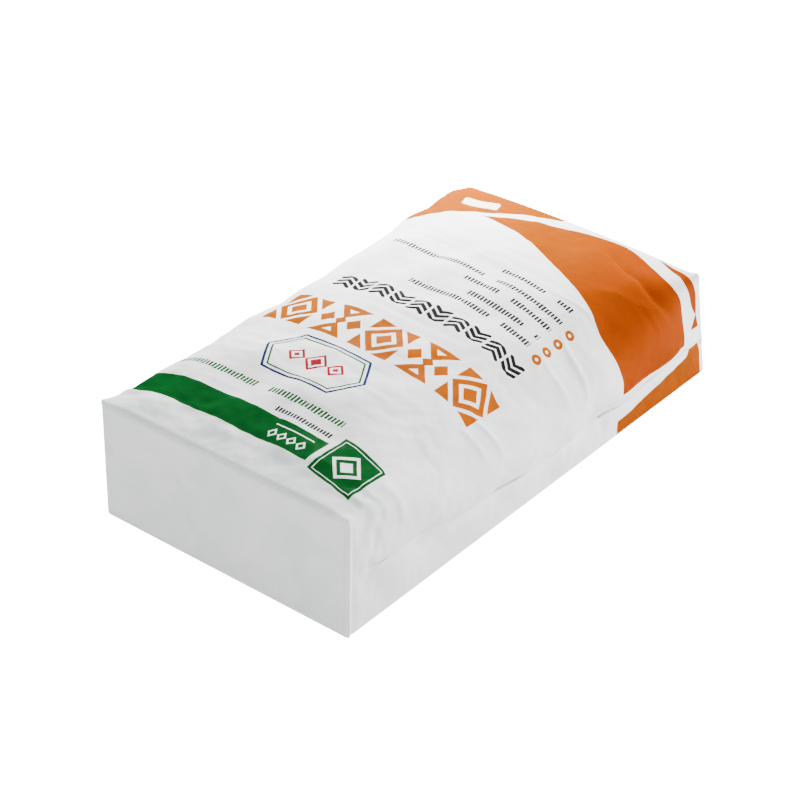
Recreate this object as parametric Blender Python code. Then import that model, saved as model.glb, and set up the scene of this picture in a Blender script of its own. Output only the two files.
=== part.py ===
"""A filled block-bottom valve bag of laminated woven polypropylene, lying on its back.

The bag's length runs along X, with its bottom end at -X and its valve end at +X.
It lies on the plane z = 0. All sizes are in metres.
"""

import math
from collections import namedtuple

import bmesh
import bpy
from mathutils import Vector

# The filled block
LENGTH = 0.690
WIDTH = 0.360
HEIGHT = 0.151

# How far the top edge of each end leans in over the block's height
BOTTOM_END_LEAN = 0.0045
VALVE_END_LEAN = 0.029

# The ends keep their folded shape, and the lean fades out over these shares of the length
BOTTOM_END_REACH = 0.10
VALVE_END_REACH = 0.35

# The section at shares of the length. near and far are the -Y and +Y sides, round is a
# shoulder's roundness (0 square, 0.5 elliptic), and fold is the height of the side fold.
Section = namedtuple(
    "Section", "share near_top far_top crown near_round far_round fold near_bulge far_bulge"
)
SECTIONS = (
    Section(0.00, 0.151, 0.151, 0.000, 0.01, 0.01, 0.075, 0.000, 0.000),
    Section(0.08, 0.151, 0.152, 0.008, 0.05, 0.04, 0.070, 0.002, 0.001),
    Section(0.25, 0.147, 0.157, 0.018, 0.22, 0.08, 0.056, 0.005, 0.004),
    Section(0.50, 0.142, 0.156, 0.022, 0.34, 0.08, 0.045, 0.007, 0.006),
    Section(0.75, 0.144, 0.168, 0.018, 0.30, 0.08, 0.044, 0.006, 0.007),
    Section(0.90, 0.149, 0.168, 0.010, 0.14, 0.06, 0.049, 0.003, 0.004),
    Section(1.00, 0.151, 0.158, 0.006, 0.02, 0.04, 0.052, 0.000, 0.000),
)
SECTION_BLEND = 0.04

# The sides: how deep the side fold is pressed in and how fast that fades upwards, how low
# the bulge over it sits, and how fast both fade towards the top
SIDE_FOLD_DEPTH = 0.002
SIDE_FOLD_FADE = 8
BULGE_LOWERING = 0.6
BULGE_FADE = 6
FLOOR_EDGE = 0.003

# Mesh density: stations along the length, and steps round the section
STATIONS = 30
CROWDING = 0.07
TOP_STEPS = 26
SIDE_STEPS = 7
LOWER_STEPS = 2
FLOOR_STEPS = 10

# The cover patches glued over the folded ends, and the valve sleeve under one of them
PATCH_THICKNESS = 0.0005
PATCH_MARGIN = 0.005
SEAT_GAP = 0.0003
SLEEVE_LENGTH = 0.140
SLEEVE_WIDTH = 0.105
SLEEVE_THICKNESS = 0.0008
SLEEVE_MOUTH_INSET = 0.001
SLEEVE_CLEARANCE = 0.001
PATCH_RAMP = 0.004


def clear_scene():
    for obj in list(bpy.data.objects):
        bpy.data.objects.remove(obj, do_unlink=True)


def principled(name, colour, roughness):
    material = bpy.data.materials.new(name)
    material.use_nodes = True
    shader = material.node_tree.nodes["Principled BSDF"]
    shader.inputs["Base Color"].default_value = (*colour, 1.0)
    shader.inputs["Roughness"].default_value = roughness
    shader.inputs["Metallic"].default_value = 0.0
    return material


def add_object(name, mesh_builder, material):
    mesh = bpy.data.meshes.new(name)
    mesh_builder.to_mesh(mesh)
    mesh_builder.free()
    mesh.materials.append(material)
    obj = bpy.data.objects.new(name, mesh)
    bpy.context.collection.objects.link(obj)
    return obj


def smooth_step(t):
    t = min(max(t, 0.0), 1.0)
    return t * t * (3.0 - 2.0 * t)


def section_at(share):
    """The section at this share of the length, on straight lines between the rows above."""
    for before, after in zip(SECTIONS, SECTIONS[1:]):
        if share <= after.share:
            break
    t = (share - before.share) / (after.share - before.share)
    return Section(*(a + (b - a) * t for a, b in zip(before, after)))


def smoothed_section_at(share):
    """The mean of the section over a short stretch, which rounds the corners between rows."""
    spread = min(SECTION_BLEND, share, 1.0 - share)
    samples = [section_at(share + spread * k / 2) for k in range(-2, 3)]
    return Section(*(sum(values) / len(samples) for values in zip(*samples)))


def lean_at(share, z):
    """How far a point at this height moves along X because the ends lean in."""
    rise = z / HEIGHT
    bottom = BOTTOM_END_LEAN * rise * (1.0 - smooth_step(share / BOTTOM_END_REACH))
    valve = VALVE_END_LEAN * rise * smooth_step(1.0 - (1.0 - share) / VALVE_END_REACH)
    return bottom - valve


def section_ring(share):
    """The closed outline of the bag at this share of its length, as points in space."""
    section = smoothed_section_at(share)
    fold = section.fold
    half = WIDTH / 2

    def upper(u, v):
        """A point over the side fold: u runs across the top, and v up the sides."""
        near = u < 0
        power = 1.0 / (section.near_round if near else section.far_round)
        bulge = section.near_bulge if near else section.far_bulge
        depth = min(bulge, SIDE_FOLD_DEPTH)
        pull = (abs(u) ** power + abs(v) ** power) ** (-1.0 / power)
        side = bulge * math.sin(math.pi * v ** BULGE_LOWERING) - depth * (1.0 - v) ** SIDE_FOLD_FADE
        y = half * u * pull + math.copysign(side * abs(u) ** BULGE_FADE, u)
        top = section.near_top + (section.far_top - section.near_top) * (u + 1.0) / 2
        z = fold + (top - fold) * v * pull
        if v >= 1.0:
            z += section.crown * (1.0 - u * u)
        return y, z

    outline = []
    for i in range(SIDE_STEPS):
        outline.append(upper(-1.0, i / SIDE_STEPS))
    for i in range(TOP_STEPS + 1):
        outline.append(upper(2.0 * i / TOP_STEPS - 1.0, 1.0))
    for i in range(SIDE_STEPS):
        outline.append(upper(1.0, 1.0 - (i + 1) / SIDE_STEPS))
    foot = half - FLOOR_EDGE
    for i in range(LOWER_STEPS):
        outline.append((half, fold * (1.0 - (i + 1) / (LOWER_STEPS + 1))))
    outline.append((half, FLOOR_EDGE))
    for i in range(FLOOR_STEPS + 1):
        outline.append((foot - 2.0 * foot * i / FLOOR_STEPS, 0.0))
    outline.append((-half, FLOOR_EDGE))
    for i in range(LOWER_STEPS):
        outline.append((-half, fold * (i + 1) / (LOWER_STEPS + 1)))
    along = LENGTH * (share - 0.5)
    return [Vector((along + lean_at(share, z), y, z)) for y, z in outline]


def station_share(index):
    """Stations lie closer together towards the folded ends."""
    even = index / STATIONS
    return even - CROWDING * math.sin(2.0 * math.pi * even)


def bag_body(material):
    """The woven tube with its folded ends, as one solid that also stands for its filling."""
    bm = bmesh.new()
    rings = []
    for index in range(STATIONS + 1):
        ring = section_ring(station_share(index))
        rings.append([bm.verts.new(point) for point in ring])
    for ring, following in zip(rings, rings[1:]):
        for i in range(len(ring)):
            j = (i + 1) % len(ring)
            bm.faces.new((ring[i], following[i], following[j], ring[j]))
    bm.faces.new(rings[0])
    bm.faces.new(rings[-1])
    bmesh.ops.recalc_face_normals(bm, faces=bm.faces)
    obj = add_object("bag_body", bm, material)
    obj.data.shade_smooth()
    obj.data.set_sharp_from_angle(angle=math.radians(40.0))
    return obj


def end_axes(side):
    """Foot, outward normal and upward direction of an end face; side is -1 or 1."""
    lean = BOTTOM_END_LEAN if side < 0 else VALVE_END_LEAN
    up = Vector((-side * lean, 0.0, HEIGHT)).normalized()
    out = Vector((side * HEIGHT, 0.0, lean)).normalized()
    return Vector((side * LENGTH / 2, 0.0, 0.0)), out, up


def sheet_on_end(name, side, columns, rows, offset, thickness, material):
    """A thin sheet lying on an end face, lifted off it by offset(y, rise) at each grid point."""
    foot, out, up = end_axes(side)
    bm = bmesh.new()

    def layer(extra):
        return [
            [bm.verts.new(foot + Vector((0, y, 0)) + up * r + out * (offset(y, r) + extra))
             for r in rows]
            for y in columns
        ]

    inner = layer(0.0)
    outer = layer(thickness)
    last_column = len(columns) - 1
    last_row = len(rows) - 1
    for i in range(last_column):
        for j in range(last_row):
            for grid in (inner, outer):
                bm.faces.new((grid[i][j], grid[i + 1][j], grid[i + 1][j + 1], grid[i][j + 1]))
    for i in range(last_column):
        for j in (0, last_row):
            bm.faces.new((inner[i][j], inner[i + 1][j], outer[i + 1][j], outer[i][j]))
    for j in range(last_row):
        for i in (0, last_column):
            bm.faces.new((inner[i][j], inner[i][j + 1], outer[i][j + 1], outer[i][j]))
    bmesh.ops.recalc_face_normals(bm, faces=bm.faces)
    return add_object(name, bm, material)


def bottom_cover_patch(material):
    """The flat patch glued over the folds of the bottom end."""
    half = WIDTH / 2 - PATCH_MARGIN
    rows = (PATCH_MARGIN, HEIGHT - PATCH_MARGIN)
    return sheet_on_end(
        "bottom_cover_patch", -1, (-half, half), rows, lambda y, r: SEAT_GAP,
        PATCH_THICKNESS, material,
    )


def sleeve_span():
    """(inner end, mouth, lowest, highest) of the valve sleeve on the valve end."""
    mouth = WIDTH / 2 - SLEEVE_MOUTH_INSET
    middle = HEIGHT / 2
    return mouth - SLEEVE_LENGTH, mouth, middle - SLEEVE_WIDTH / 2, middle + SLEEVE_WIDTH / 2


def valve_sleeve(material):
    """The flattened sleeve that the bag was filled through, open towards +Y and pressed shut."""
    inner, mouth, low, high = sleeve_span()
    return sheet_on_end(
        "valve_sleeve", 1, (inner, mouth), (low, high), lambda y, r: SEAT_GAP,
        SLEEVE_THICKNESS, material,
    )


def top_cover_patch(material):
    """The patch over the folds of the valve end, which rises over the sleeve beneath it."""
    inner, _, low, high = sleeve_span()
    half = WIDTH / 2 - PATCH_MARGIN
    start = inner - SLEEVE_CLEARANCE
    low -= SLEEVE_CLEARANCE
    high += SLEEVE_CLEARANCE
    raised = SEAT_GAP + SLEEVE_THICKNESS + SEAT_GAP

    def offset(y, r):
        return raised if y >= start and low <= r <= high else SEAT_GAP

    rows = (PATCH_MARGIN, low - PATCH_RAMP, low, high, high + PATCH_RAMP, HEIGHT - PATCH_MARGIN)
    columns = (-half, start - PATCH_RAMP, start, half)
    return sheet_on_end(
        "top_cover_patch", 1, columns, rows, offset, PATCH_THICKNESS, material
    )


def main():
    clear_scene()
    film = principled("laminated_film", (0.78, 0.79, 0.78), 0.38)
    patch = principled("patch_film", (0.74, 0.75, 0.74), 0.42)
    sleeve = principled("sleeve_film", (0.70, 0.71, 0.70), 0.45)
    bag_body(film)
    bottom_cover_patch(patch)
    valve_sleeve(sleeve)
    top_cover_patch(patch)


main()
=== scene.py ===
"""The looks of a filled block-bottom valve bag of laminated woven polypropylene.

The bag lies on its back with its bottom end at -X and its valve end at +X. The shell
repeats the section of the solid that it replaces, at a finer step. A cloth simulation,
creases and dents wrinkle it, and its print is drawn on the film by its material. The
cover patches and the valve sleeve are thin sheets on the ends. All sizes are in metres.
"""

import math
from functools import partialmethod, reduce

import bpy
import numpy as np
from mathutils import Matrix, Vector


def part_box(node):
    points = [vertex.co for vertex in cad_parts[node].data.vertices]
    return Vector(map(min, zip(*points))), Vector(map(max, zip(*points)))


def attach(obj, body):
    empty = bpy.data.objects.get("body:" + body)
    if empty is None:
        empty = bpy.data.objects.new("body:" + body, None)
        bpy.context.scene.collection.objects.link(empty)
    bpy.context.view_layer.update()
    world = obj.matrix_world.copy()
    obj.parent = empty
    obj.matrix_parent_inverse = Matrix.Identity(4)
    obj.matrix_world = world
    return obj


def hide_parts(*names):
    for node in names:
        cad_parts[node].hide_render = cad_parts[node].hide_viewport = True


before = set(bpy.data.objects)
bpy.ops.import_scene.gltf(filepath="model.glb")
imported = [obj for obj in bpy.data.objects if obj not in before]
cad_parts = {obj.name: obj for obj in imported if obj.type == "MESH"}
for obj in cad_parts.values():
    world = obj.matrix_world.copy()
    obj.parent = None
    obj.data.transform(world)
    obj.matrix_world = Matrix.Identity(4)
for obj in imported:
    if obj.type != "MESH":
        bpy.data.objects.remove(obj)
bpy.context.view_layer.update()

# The block, as the solids have it
BODY_LOW, BODY_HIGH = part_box("bag_body")
LENGTH = BODY_HIGH[0] - BODY_LOW[0]
WIDTH = 0.360
HEIGHT = 0.151

# By side, -1 for the bottom end and 1 for the valve end: how far the end's top edge leans in,
# over what share of the length that fades out, and the radius of the edge
END_LEAN = {-1: 0.0045, 1: 0.029}
LEAN_REACH = {-1: 0.10, 1: 0.35}
TOP_EDGE_RADIUS = {-1: 0.009, 1: 0.004}
TOP_EDGE_CORNER = 0.004
TOP_EDGE_EASE = 0.030
UPRIGHT_EDGE_RADIUS = 0.0018
FLOOR_CORNER = 0.003

# The section at shares of the length: near (-Y) and far (+Y) shoulder heights, crown rise,
# roundness of the shoulders, bulge of the sides, and height of the side fold
SECTION_SHARES = (0.00, 0.08, 0.25, 0.50, 0.75, 0.90, 1.00)
SECTION = dict(
    near_top=(0.151, 0.151, 0.147, 0.142, 0.144, 0.149, 0.151),
    far_top=(0.151, 0.152, 0.157, 0.156, 0.168, 0.168, 0.158),
    crown=(0.000, 0.008, 0.018, 0.022, 0.018, 0.010, 0.006),
    near_round=(0.01, 0.05, 0.22, 0.34, 0.30, 0.14, 0.02),
    far_round=(0.01, 0.04, 0.08, 0.08, 0.08, 0.06, 0.04),
    near_bulge=(0.000, 0.002, 0.005, 0.007, 0.006, 0.003, 0.000),
    far_bulge=(0.000, 0.001, 0.004, 0.006, 0.007, 0.004, 0.000),
)
FOLD_HEIGHT = (0.075, 0.070, 0.056, 0.045, 0.044, 0.049, 0.052)
SECTION_BLEND = 0.06
SIDE_FOLD_DEPTH = 0.002
SIDE_FOLD_FADE = 8
BULGE_LOWERING = 0.6
BULGE_FADE = 6
BULGE_EASE = 6
CROWN_EASE = 0.3

# Mesh density of the shell, and of the coarser copy that the cloth simulation wrinkles
FINE = dict(step=0.0029, top=176, side=34, lower=13, floor=22, edge=6)
COARSE = dict(step=0.0075, top=48, side=13, lower=6, floor=20, edge=2)
FIRST_STEP = 0.0006
STEP_GROWTH = 1.3
FLOOR_CORNER_STEPS = 4
LOWER_CROWDING = 1.5
UPPER_CROWDING = 1.4
END_FACE_RINGS = 18
END_FACE_SINK = 0.0005

# Cloth simulation: the cloth is a little too large for its filling, and held near the ends
SIMULATED_FRAMES = 24
CLOTH = dict(
    quality=5, mass=0.2, tension_stiffness=15, compression_stiffness=15, shear_stiffness=4.5,
    bending_stiffness=0.5, tension_damping=5, compression_damping=5, shear_damping=5,
    bending_damping=1, air_damping=5, pin_stiffness=1, use_pressure=True,
    uniform_pressure_force=0.5, shrink_min=-0.008,
)
HELD_LEAST = 0.2
HELD_FROM = 0.004
HELD_FADE = 0.030
FLOOR_HELD = 0.004
WRINKLE_CAP = 0.006
WRINKLE_SHARE = 0.38

# The bead along the bottom end's upright edges, and the ears of the top corners, each by end,
# side and rise
BEAD_HEIGHT = 0.0011
BEAD_WIDTH = 0.002
EAR_SIZE = 0.009
EARS = ((-1, -1, 0.0026), (-1, 1, 0.0026), (1, -1, 0.0030), (1, 1, -0.0020))

# The side fold wanders a little. Its groove fades out towards the bottom end, and has a lip
FOLD_WANDER = 0.0007
FOLD_WAVE = 0.085
FOLD_SEED = 5
FOLD_CALM_ENDS = 0.06
GROOVE_DEPTH = 0.0048
GROOVE_RISE = 0.0016
GROOVE_FALL = 0.0060
GROOVE_START = 0.10
GROOVE_FADE = 0.26
LIP_SHARE = 0.35
LIP_RISE = 0.0055
LIP_WIDTH = 0.0035

# Soft relief, each by height, wavelength and seed. The dents in the ends have a seed for each
# end, and they fade out towards its edges
FILM_RIPPLES = ((0.0011, 0.095, 11), (0.00020, 0.032, 12))
BOTTOM_PUCKERS = (0.0005, 0.030, 13)
PATCH_WAVE = (0.00016, 0.045, 51)
END_DENTS = ((0.0020, 0.080), (0.0005, 0.036))
END_SEEDS = {-1: 31, 1: 41}
END_FADE_ACROSS = 0.04
END_FADE_UP = 0.045

# Round the valve end's own creases the random wrinkles are calm: how calm, where, how wide
CALM = 0.85
CALM_PLACE = (0.250, -0.150)
CALM_SIZE = (0.085, 0.090)

# Fold lines of the ends under the patches
END_FOLD_HEIGHT = 0.00035
END_FOLD_WIDTH = 0.0022
OVERLAP_HEIGHT = 0.0003
OVERLAP_DROP = 0.012

# Creases seen in the photograph. Each has points along its line on the film, as (length
# coordinate, distance round the film), then its height, and its width on either side
CREASES = (
    (((0.320, -0.052), (0.315, -0.066), (0.298, -0.093), (0.288, -0.114), (0.284, -0.135),
      (0.275, -0.152), (0.271, -0.168), (0.274, -0.187), (0.286, -0.212)), -0.0038, 0.0130, 0.0220),
    (((0.205, -0.098), (0.236, -0.131), (0.243, -0.156), (0.255, -0.171), (0.272, -0.188),
      (0.284, -0.204)), 0.0010, 0.0200, 0.0180),
    (((0.318, 0.034), (0.322, -0.020), (0.316, -0.064)), -0.0012, 0.0070, 0.0160),
    (((0.252, -0.150), (0.247, -0.185), (0.251, -0.218)), 0.0007, 0.0090, 0.0110),
    (((0.236, -0.150), (0.230, -0.196)), 0.0006, 0.0140, 0.0100),
    (((0.159, -0.070), (0.170, -0.138)), 0.0014, 0.0100, 0.0070),
    (((0.110, -0.125), (0.098, -0.168), (0.084, -0.212)), 0.0026, 0.0100, 0.0080),
    (((0.064, -0.130), (0.052, -0.205)), 0.0018, 0.0110, 0.0100),
    (((-0.086, -0.140), (-0.078, -0.208)), 0.0026, 0.0090, 0.0080),
    (((-0.112, -0.150), (-0.106, -0.208)), 0.0018, 0.0100, 0.0100),
    (((-0.296, -0.150), (-0.280, -0.206)), 0.0016, 0.0090, 0.0080),
    (((-0.270, -0.160), (-0.252, -0.218)), 0.0018, 0.0100, 0.0100),
    (((-0.320, -0.145), (-0.304, -0.190)), 0.0014, 0.0080, 0.0080),
)

# Cover patches
PATCH_MARGIN = 0.005
PATCH_FILM = 0.0003
PATCH_LIFT = 0.0002
PATCH_COLUMNS = 150
PATCH_ROWS = 62
PATCH_SETTLE = 0.008
PATCH_SLACK = 0.00025
PATCH_RIM = 0.0012
PATCH_RIM_SHARE = 0.12

# Valve sleeve
SLEEVE_LENGTH = 0.140
SLEEVE_WIDTH = 0.105
SLEEVE_MOUTH_INSET = 0.001
SLEEVE_GAP = 0.0003
SLEEVE_THICKNESS = 0.0008
SLEEVE_CLOSED_END = 0.003
SLEEVE_RAMP = 0.006
SLEEVE_STEPS = 46
SLEEVE_RINGS = 40
CLOSING_RINGS = 12
CAVITY_MARGIN = 0.0006
CAVITY_SHARE = 0.4

# The camera, solved from the corners of the block in the photograph
CAMERA_AZIMUTH = -50.72
CAMERA_ELEVATION = 32.90
CAMERA_DISTANCE = 2.734
CAMERA_TARGET = (-0.0021, 0.0287, 0.0450)
CAMERA_LENS = 102.96
SENSOR_WIDTH = 36.0

# Studio light: each softbox by name, place, aim, size, power, and whether reflections show it
WHITE_LIGHT = (1.0, 1.0, 1.0, 1.0)
WORLD_STRENGTH = 0.25
FLOOR_HALF = 6.0
FLOOR_GLOW = 16.0
SOFTBOXES = (
    ("far_corner", (0.42, 0.36, 0.50), (0.15, 0.08, 0.15), 0.35, 24.0, False),
    ("side", (1.0, -1.8, 0.9), (0.0, -0.1, 0.05), 1.4, 93.0, False),
    ("valve_end", (1.7, -0.6, 0.5), (0.2, -0.05, 0.12), 0.5, 54.0, False),
    ("bottom_end", (-1.7, -0.1, 0.8), (-0.3, 0.0, 0.08), 0.6, 24.2, True),
    ("far_side", (-0.05, 2.0, 0.29), (-0.08, 0.1, 0.15), 0.4, 80.0, False),
)


def smooth_step(t):
    t = np.clip(t, 0.0, 1.0)
    return t * t * (3.0 - 2.0 * t)


def ripples(x, s, wavelength, seed, waves=28):
    """A smooth random field of about unit size whose features are this long."""
    random = np.random.default_rng(seed)
    total = np.zeros(np.broadcast(x, s).shape)
    for _ in range(waves):
        angle, phase = random.uniform(0.0, 2.0 * np.pi, 2)
        size = wavelength * random.uniform(0.7, 1.5)
        total += np.cos((x * np.cos(angle) + s * np.sin(angle)) * 2.0 * np.pi / size + phase)
    return total * np.sqrt(2.0 / waves)


def add_object(name, data):
    obj = bpy.data.objects.new(name, data)
    bpy.context.collection.objects.link(obj)
    return obj


# The shell's grid

def section_values(row, shares):
    """A row of the section table at these shares, its corners rounded by a running mean."""
    total = np.zeros_like(shares)
    spread = np.minimum(SECTION_BLEND, np.minimum(shares, 1.0 - shares))
    offsets = np.linspace(-1.0, 1.0, 9)
    weights = 1.0 - 0.9 * np.abs(offsets)
    for offset, weight in zip(offsets, weights):
        total += weight * np.interp(shares + spread * offset, SECTION_SHARES, row)
    return total / weights.sum()


def fold_heights(shares, near):
    """Height of the side fold at these shares of the length, where near tells its -Y points."""
    away = smooth_step(np.minimum(shares, 1.0 - shares) / FOLD_CALM_ENDS)[:, None]
    wander = [ripples(shares * LENGTH, side, FOLD_WAVE, FOLD_SEED)[:, None] for side in (0.0, 1.0)]
    fold = section_values(FOLD_HEIGHT, shares)[:, None]
    return fold + FOLD_WANDER * away * np.where(near, *wander)


def ring_layout(density):
    """The (kind, u, v) of each point round a section, from the floor's middle up the near side."""
    floor = np.linspace(0.0, 1.0, density["floor"] // 2, endpoint=False)
    corner = np.linspace(1.0, 0.0, FLOOR_CORNER_STEPS)
    share = (np.arange(density["lower"]) + 1.0) / (density["lower"] + 1.0)
    lower = 1.0 - (1.0 - share) ** LOWER_CROWDING
    upper = (np.arange(density["side"]) / density["side"]) ** UPPER_CROWDING
    top = np.linspace(-1.0, 1.0, density["top"] + 1)
    climb = (
        ("floor", floor, 0.0 * floor), ("corner", 1.0 + 0.0 * corner, corner),
        ("lower", 1.0 + 0.0 * lower, lower), ("upper", 1.0 + 0.0 * upper, upper),
    )
    stretches = [(kind, -us, vs) for kind, us, vs in climb]
    stretches += [("upper", top, 1.0 + 0.0 * top)]
    stretches += [(kind, us[::-1], vs[::-1]) for kind, us, vs in reversed(climb)]
    kinds = np.concatenate([[kind] * len(us) for kind, us, _ in stretches])
    u, v = (np.concatenate([stretch[k] for stretch in stretches]) for k in (1, 2))
    # The floor's middle comes up twice, at the start and at the end
    return kinds[:-1], u[:-1], v[:-1]


def crown_profile(u):
    """How the crown rises from the shoulders to the middle of the top, from 0 to 1."""
    from_edge = np.clip((1.0 - np.abs(u)) / CROWN_EASE, 0.0, 1.0)
    start = CROWN_EASE * (2.0 - CROWN_EASE)
    slope = 2.0 * CROWN_EASE * (1.0 - CROWN_EASE)
    eased = start * (3.0 - 2.0 * from_edge) * from_edge ** 2 - slope * (1.0 - from_edge) * from_edge ** 2
    return np.where(from_edge < 1.0, eased, 1.0 - u * u)


def section_points(shares, kinds, u, v):
    """(y, z) of every ring point at every share, each as an array of shares by points."""
    at = {name: section_values(row, shares)[:, None] for name, row in SECTION.items()}
    half = WIDTH / 2
    near = (u < 0)[None, :]
    fold = fold_heights(shares, near)
    power = 1.0 / np.where(near, at["near_round"], at["far_round"])
    bulge = np.where(near, at["near_bulge"], at["far_bulge"])
    depth = np.minimum(bulge, SIDE_FOLD_DEPTH)
    size_u, size_v = np.abs(u)[None, :], v[None, :]
    pull = (size_u ** power + np.maximum(size_v, 1e-9) ** power) ** (-1.0 / power)
    swell = np.sin(np.pi * size_v ** BULGE_LOWERING) * (1.0 - size_v ** BULGE_EASE)
    side = bulge * swell - depth * (1.0 - size_v) ** SIDE_FOLD_FADE
    y = half * u * pull + np.sign(u) * side * size_u ** BULGE_FADE
    top = at["near_top"] + (at["far_top"] - at["near_top"]) * (u + 1.0) / 2
    z = fold + (top - fold) * size_v * pull
    z = z + np.where(size_v >= 1.0, at["crown"] * crown_profile(u), 0.0)

    foot = FLOOR_CORNER
    y = np.where(kinds == "lower", half * u, y)
    z = np.where(kinds == "lower", foot + (fold - foot) * v, z)
    turn = v * np.pi / 2
    y = np.where(kinds == "corner", np.sign(u) * (half - foot + foot * np.cos(turn)), y)
    z = np.where(kinds == "corner", foot - foot * np.sin(turn), z)
    y = np.where(kinds == "floor", (half - foot) * u, y)
    z = np.where(kinds == "floor", 0.0, z)
    return y, z


def lean(shares, z):
    """How far a point at this height moves along X because the ends lean in."""
    rise = z / HEIGHT
    bottom = END_LEAN[-1] * rise * (1.0 - smooth_step(shares / LEAN_REACH[-1]))
    valve = END_LEAN[1] * rise * smooth_step(1.0 - (1.0 - shares) / LEAN_REACH[1])
    return bottom - valve


def outline_normals(y, z):
    """Unit normals in the section plane, pointing out, for closed rings of points."""
    dy = np.roll(y, -1, axis=1) - np.roll(y, 1, axis=1)
    dz = np.roll(z, -1, axis=1) - np.roll(z, 1, axis=1)
    size = np.maximum(np.hypot(dy, dz), 1e-9)
    return -dz / size, dy / size


def station_shares(step):
    """Stations at an even step along the length, closer together at the folded ends."""
    near = [0.0]
    gap = FIRST_STEP
    while gap < step:
        near.append(near[-1] + gap)
        gap *= STEP_GROWTH
    near = np.array(near)
    inner = LENGTH - 2.0 * near[-1]
    middle = near[-1] + np.linspace(0.0, inner, round(inner / step) + 1)[1:-1]
    return np.concatenate([near, middle, LENGTH - near[::-1]]) / LENGTH


def top_edge_radius(y, side):
    """Radius of an end's top edge, which sharpens towards its corners."""
    inside = smooth_step((WIDTH / 2 - TOP_EDGE_CORNER - np.abs(y)) / TOP_EDGE_EASE)
    return UPRIGHT_EDGE_RADIUS + (TOP_EDGE_RADIUS[side] - UPRIGHT_EDGE_RADIUS) * inside


def shell_grid(density):
    """The undented shell: points as rows of rings, each point's place on the flat film as
    (length coordinate, distance round the film from the top's middle), and how many rows
    turn each end's edge and cover its face."""
    kinds, u, v = ring_layout(density)
    shares = station_shares(density["step"])
    y, z = section_points(shares, kinds, u, v)

    def edge_radius(index, side):
        """Radius of an end's edge at each point of its outline."""
        on_top = smooth_step((z[index] - 0.12) / 0.02)
        return UPRIGHT_EDGE_RADIUS + (top_edge_radius(y[index], side) - UPRIGHT_EDGE_RADIUS) * on_top

    first, last = edge_radius(0, -1), edge_radius(-1, 1)
    x = -LENGTH / 2 + first + shares[:, None] * (LENGTH - first - last)
    film_x = LENGTH * (shares[:, None] - 0.5) + 0.0 * y
    steps = np.hypot(np.diff(y, axis=1), np.diff(z, axis=1))
    arc = np.concatenate([np.zeros((len(shares), 1)), np.cumsum(steps, axis=1)], axis=1)
    middle = int(np.argmin(np.abs(u) + (v < 1.0)))
    film_s = arc - arc[:, middle:middle + 1]

    def end_rows(index, side, reach):
        """Rings that turn the end's edge, then run in over the end face."""
        ny, nz = outline_normals(y[index:index + 1], z[index:index + 1])
        rows = []
        for turn in np.linspace(0.0, np.pi / 2, density["edge"] + 1)[1:]:
            inset = reach * (1.0 - np.cos(turn))
            along = side * (LENGTH / 2 - reach + reach * np.sin(turn))
            rows.append((along, y[index] - ny[0] * inset, z[index] - nz[0] * inset))
        edge_x, edge_y, edge_z = rows[-1]
        centre = HEIGHT / 2
        for share in np.linspace(1.0, 0.0, END_FACE_RINGS + 2)[1:-1]:
            rows.append((edge_x, edge_y * share, centre + (edge_z - centre) * share))
        return np.moveaxis(np.array(rows), 1, 2)

    start = end_rows(0, -1, first)[::-1]
    end = end_rows(len(shares) - 1, 1, last)
    points = np.concatenate([start, np.stack([x, y, z], axis=2), end])
    pad = len(start)
    points[:, :, 0] += lean(np.pad(shares, pad, mode="edge")[:, None], points[:, :, 2])
    film = np.pad(np.stack([film_x, film_s], axis=2), ((pad, pad), (0, 0), (0, 0)), mode="edge")
    return points, film, pad


def grid_normals(points):
    """Unit normals of a grid of rings, pointing out."""
    along = np.gradient(points, axis=0)
    round_ring = np.roll(points, -1, axis=1) - np.roll(points, 1, axis=1)
    normal = np.cross(along, round_ring)
    return normal / np.maximum(np.linalg.norm(normal, axis=2, keepdims=True), 1e-12)


def mesh_from_rings(name, points, film):
    """A closed mesh from rows of rings, with a middle point at each end. Its corners carry
    their place on the film, so that the film's back seam is a clean edge."""
    rows, ring = points.shape[:2]
    ends = np.array([points[0].mean(axis=0), points[-1].mean(axis=0)])
    vertices = np.vstack([points.reshape(-1, 3), ends])
    closing = film[:, :1].copy()
    closing[:, :, 1] = 2.0 * film[:, -1:, 1] - film[:, -2:-1, 1]
    film = np.concatenate([film, closing], axis=1)
    i, j = np.meshgrid(np.arange(rows - 1), np.arange(ring), indexing="ij")
    corners = ((i, j), (i + 1, j), (i + 1, j + 1), (i, j + 1))
    quads = np.stack([a * ring + b % ring for a, b in corners], axis=2).reshape(-1, 4)
    places = np.stack([film[a, b] for a, b in corners], axis=2).reshape(-1, 2)
    faces = quads.tolist()
    fans = []
    for row, centre in ((0, rows * ring), (rows - 1, rows * ring + 1)):
        for a in range(ring):
            turned = ((a, a + 1) if row == 0 else (a + 1, a))
            faces.append([row * ring + k % ring for k in turned] + [centre])
            fans += [film[row, k] for k in turned] + [film[row, a]]
    mesh = bpy.data.meshes.new(name)
    mesh.from_pydata(vertices.tolist(), [], faces)
    mesh.update()
    values = np.zeros((len(places) + len(fans), 3))
    values[:, :2] = np.vstack([places, np.array(fans)])
    attribute = mesh.attributes.new("film", "FLOAT_VECTOR", "CORNER")
    attribute.data.foreach_set("vector", values.ravel())
    mesh.shade_smooth()
    return add_object(name, mesh)


# Wrinkles and details

def vertex_places(mesh):
    """Where the vertices of a mesh are."""
    places = np.empty(len(mesh.vertices) * 3)
    mesh.vertices.foreach_get("co", places)
    return places.reshape(-1, 3)


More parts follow.
